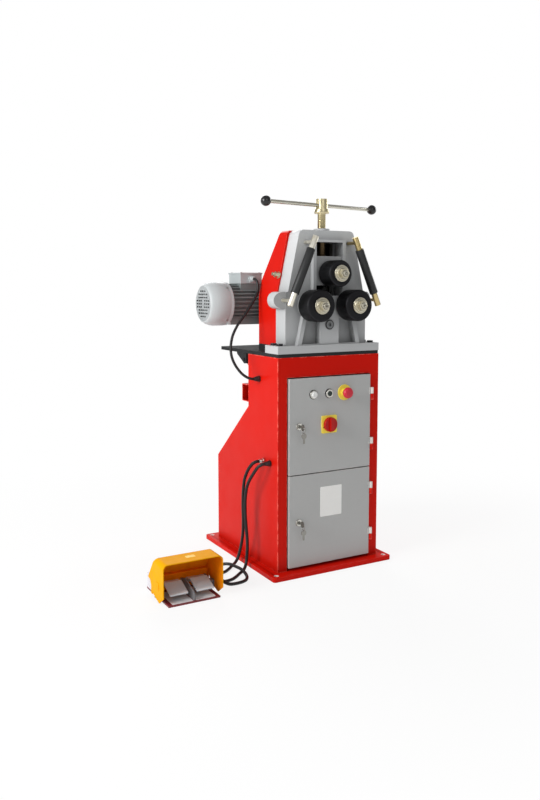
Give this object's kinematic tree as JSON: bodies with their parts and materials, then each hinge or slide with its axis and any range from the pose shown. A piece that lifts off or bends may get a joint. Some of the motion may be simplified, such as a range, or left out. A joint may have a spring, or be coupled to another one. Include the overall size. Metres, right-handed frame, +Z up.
{
  "type": "angle roll bender",
  "caption": "Three-roll profile bending machine: cast roll head with screw-fed upper roll and geared lower rolls, tilting on a steel cabinet with a twin foot switch.",
  "frame": {"origin": "on the floor, in the middle of the four anchor holes of the base plate", "axes": "+X to the operator's right, +Y to the back of the machine, +Z up"},
  "size_m": [0.9156, 0.612, 1.303],
  "materials": {
    "red_paint": "satin",
    "door_grey": "satin",
    "cast_grey": "painted satin",
    "black_paint": "satin",
    "motor_grey": "painted satin",
    "rolled_black": "black oxide",
    "zinc": "zinc plated",
    "steel": "machined",
    "bronze": "machined",
    "black_plastic": "matte",
    "yellow_plastic": "satin",
    "hood_yellow": "satin",
    "red_plastic": "gloss",
    "white_plastic": "gloss",
    "grey_plastic": "matte",
    "rubber": "matte",
    "base_red": "satin",
    "pedal_grey": "textured",
    "sheet_steel": "galvanised"
  },
  "bodies": {
    "stand": {"base_plate": "red_paint", "cabinet_body": "red_paint", "cabinet_front": "red_paint", "hinge_pins": "steel", "cabinet_glands": "black_plastic", "electrical_plate": "sheet_steel", "motor_cable": "rubber", "left_pedal_cable": "rubber", "right_pedal_cable": "rubber", "pedal_base": "base_red", "pedal_hood": "hood_yellow", "pedal_switch_box": "grey_plastic"},
    "left_pedal": {"left_pedal": "pedal_grey"},
    "right_pedal": {"right_pedal": "pedal_grey"},
    "upper_door": {"upper_door": "door_grey", "upper_lock": "zinc", "pilot_lamp": "white_plastic", "button_bezel": "grey_plastic", "estop_base": "yellow_plastic", "switch_plate": "yellow_plastic"},
    "start_button": {"start_button": "black_plastic"},
    "estop_plunger": {"estop_plunger": "grey_plastic"},
    "estop_cap": {"estop_cap": "red_plastic"},
    "switch_knob": {"switch_knob": "red_plastic"},
    "upper_key": {"upper_key": "zinc"},
    "lower_door": {"lower_door": "door_grey", "lower_lock": "zinc"},
    "lower_key": {"lower_key": "zinc"},
    "head": {"tilt_plate": "black_paint", "roll_frame": "cast_grey", "gear_cover": "red_paint", "gearbox": "motor_grey", "motor_body": "motor_grey", "fan_cover": "motor_grey", "terminal_box": "motor_grey", "feed_nut": "bronze", "head_bolts": "steel", "shaft_bearings": "steel", "pinion_plug": "black_paint"},
    "slider": {"slide_block": "cast_grey", "slide_bearings": "steel"},
    "screw": {"feed_screw": "zinc", "handle_bar": "zinc", "handle_knobs": "black_plastic"},
    "upper_roll": {"upper_roll": "rolled_black", "upper_shaft": "steel", "upper_nut": "zinc"},
    "left_roll": {"left_roll": "rolled_black", "left_shaft": "steel", "left_gear": "steel", "left_nut": "zinc"},
    "right_roll": {"right_roll": "rolled_black", "right_shaft": "steel", "right_gear": "steel", "right_nut": "zinc"},
    "drive_pinion": {"drive_pinion": "steel"},
    "left_guide": {"left_guide": "zinc"},
    "left_sleeve": {"left_sleeve": "rubber"},
    "right_guide": {"right_guide": "zinc"},
    "right_sleeve": {"right_sleeve": "rubber"}
  },
  "joints": [
    {"name": "head_tilt", "type": "hinge", "parent": "stand", "child": "head", "pos_m": [0, 0.016, 0.734], "axis": [-1, 0, 0], "range_deg": [0, 90], "deforming": ["motor_cable"]},
    {"name": "left_roll_spin", "type": "hinge", "parent": "head", "child": "left_roll", "pos_m": [-0.077, -0.219, 0.935], "axis": [0, -1, 0], "continuous": true},
    {"name": "right_roll_spin", "type": "hinge", "parent": "head", "child": "right_roll", "pos_m": [0.077, -0.219, 0.935], "axis": [0, -1, 0], "continuous": true},
    {"name": "pinion_spin", "type": "hinge", "parent": "head", "child": "drive_pinion", "pos_m": [0, -0.119, 0.86811], "axis": [0, -1, 0], "continuous": true},
    {"name": "upper_roll_feed", "type": "slide", "parent": "head", "child": "slider", "axis": [0, 0, 1], "range_m": [-0.032, 0.045]},
    {"name": "screw_turn", "type": "hinge", "parent": "slider", "child": "screw", "pos_m": [0, -0.178, 1.21], "axis": [0, 0, 1], "range_deg": [-1915, 2695]},
    {"name": "upper_roll_spin", "type": "hinge", "parent": "slider", "child": "upper_roll", "pos_m": [0, -0.219, 1.044], "axis": [0, -1, 0], "continuous": true},
    {"name": "left_guide_set", "type": "slide", "parent": "head", "child": "left_guide", "axis": [0, 1, 0], "range_m": [0, 0.03]},
    {"name": "right_guide_set", "type": "slide", "parent": "head", "child": "right_guide", "axis": [0, 1, 0], "range_m": [0, 0.03]},
    {"name": "left_sleeve_spin", "type": "hinge", "parent": "left_guide", "child": "left_sleeve", "pos_m": [-0.173, -0.268, 0.953], "axis": [0.3962, 0, 0.9182], "continuous": true},
    {"name": "right_sleeve_spin", "type": "hinge", "parent": "right_guide", "child": "right_sleeve", "pos_m": [0.173, -0.268, 0.953], "axis": [-0.3962, 0, 0.9182], "continuous": true},
    {"name": "upper_door_hinge", "type": "hinge", "parent": "stand", "child": "upper_door", "pos_m": [0.176, -0.245, 0.52], "axis": [0, 0, 1], "range_deg": [0, 110]},
    {"name": "lower_door_hinge", "type": "hinge", "parent": "stand", "child": "lower_door", "pos_m": [0.176, -0.245, 0.19], "axis": [0, 0, 1], "range_deg": [0, 110]},
    {"name": "start_press", "type": "slide", "parent": "upper_door", "child": "start_button", "axis": [0, 1, 0], "range_m": [0, 0.003], "stiffness_N_per_m": 400, "springref_m": -0.002},
    {"name": "estop_press", "type": "slide", "parent": "upper_door", "child": "estop_plunger", "axis": [0, 1, 0], "range_m": [0, 0.005]},
    {"name": "estop_twist", "type": "hinge", "parent": "estop_plunger", "child": "estop_cap", "pos_m": [0.0555, -0.264, 0.629], "axis": [0, -1, 0], "range_deg": [0, 45], "stiffness_Nm_per_rad": 0.05},
    {"name": "switch_turn", "type": "hinge", "parent": "upper_door", "child": "switch_knob", "pos_m": [-0.0085, -0.264, 0.521], "axis": [0, -1, 0], "range_deg": [0, 90]},
    {"name": "upper_key_turn", "type": "hinge", "parent": "upper_door", "child": "upper_key", "pos_m": [-0.131, -0.259, 0.522], "axis": [0, -1, 0], "range_deg": [0, 90]},
    {"name": "lower_key_turn", "type": "hinge", "parent": "lower_door", "child": "lower_key", "pos_m": [-0.131, -0.259, 0.185], "axis": [0, -1, 0], "range_deg": [0, 90]},
    {"name": "left_pedal_press", "type": "hinge", "parent": "stand", "child": "left_pedal", "pos_m": [-0.592, -0.194, 0.038], "axis": [1, 0, 0], "range_deg": [0, 10], "stiffness_Nm_per_rad": 2, "springref_deg": -11.46},
    {"name": "right_pedal_press", "type": "hinge", "parent": "stand", "child": "right_pedal", "pos_m": [-0.501, -0.194, 0.038], "axis": [1, 0, 0], "range_deg": [0, 10], "stiffness_Nm_per_rad": 2, "springref_deg": -11.46}
  ],
  "couplings": [
    {"joint": "right_roll_spin", "follows": "left_roll_spin", "ratio": 1},
    {"joint": "pinion_spin", "follows": "left_roll_spin", "ratio": -2.4},
    {"joint": "upper_roll_feed", "follows": "screw_turn", "m_per_rad": 0.00095493}
  ]
}
